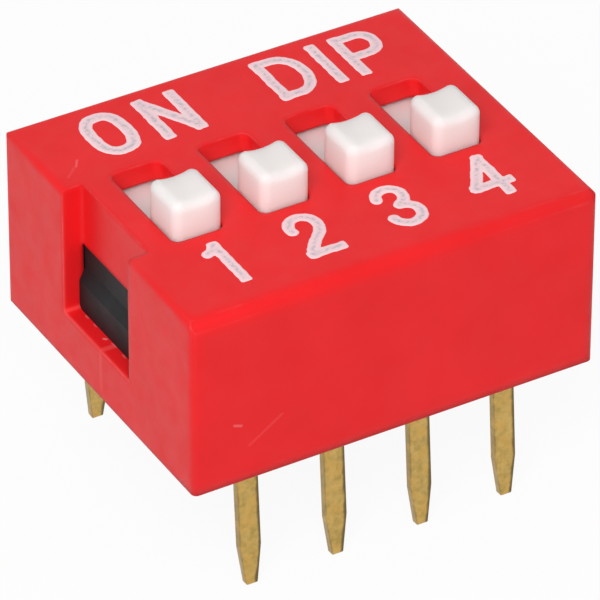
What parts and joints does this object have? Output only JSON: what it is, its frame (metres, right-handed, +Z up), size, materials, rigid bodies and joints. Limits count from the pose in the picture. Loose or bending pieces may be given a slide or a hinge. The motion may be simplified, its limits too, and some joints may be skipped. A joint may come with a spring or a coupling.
{
  "type": "dip switch",
  "caption": "Slide-type DIP switch: a red cover with white sliders in slots along its top, a black base inside it and two rows of flat tapered legs for a printed board.",
  "frame": {"origin": "centre of the leg grid on the plane of the board, which the cover's rim sits on", "axes": "+X along the row of switches from the recessed end, +Y from the numbered side to the ON side, +Z up from the board"},
  "size_m": [0.0118, 0.0098, 0.0104],
  "materials": {
    "cover_red": "satin moulded red plastic",
    "base_black": "matt moulded black plastic",
    "slider_white": "satin moulded white plastic",
    "terminal_metal": "gold-plated stamped strip",
    "contact_metal": "gold-plated spring strip"
  },
  "bodies": {
    "housing": {"cover": "cover_red", "base": "base_black", "terminal_front_1": "terminal_metal", "terminal_front_2": "terminal_metal", "terminal_front_3": "terminal_metal", "terminal_front_4": "terminal_metal", "terminal_back_1": "terminal_metal", "terminal_back_2": "terminal_metal", "terminal_back_3": "terminal_metal", "terminal_back_4": "terminal_metal"},
    "switch_1": {"slider_1": "slider_white", "contact_1": "contact_metal"},
    "switch_2": {"slider_2": "slider_white", "contact_2": "contact_metal"},
    "switch_3": {"slider_3": "slider_white", "contact_3": "contact_metal"},
    "switch_4": {"slider_4": "slider_white", "contact_4": "contact_metal"}
  },
  "joints": [
    {"name": "slide_1", "type": "slide", "parent": "housing", "child": "switch_1", "axis": [0, 1, 0], "range_m": [0, 0.00195]},
    {"name": "slide_2", "type": "slide", "parent": "housing", "child": "switch_2", "axis": [0, 1, 0], "range_m": [0, 0.00195]},
    {"name": "slide_3", "type": "slide", "parent": "housing", "child": "switch_3", "axis": [0, 1, 0], "range_m": [0, 0.00195]},
    {"name": "slide_4", "type": "slide", "parent": "housing", "child": "switch_4", "axis": [0, 1, 0], "range_m": [0, 0.00195]}
  ]
}
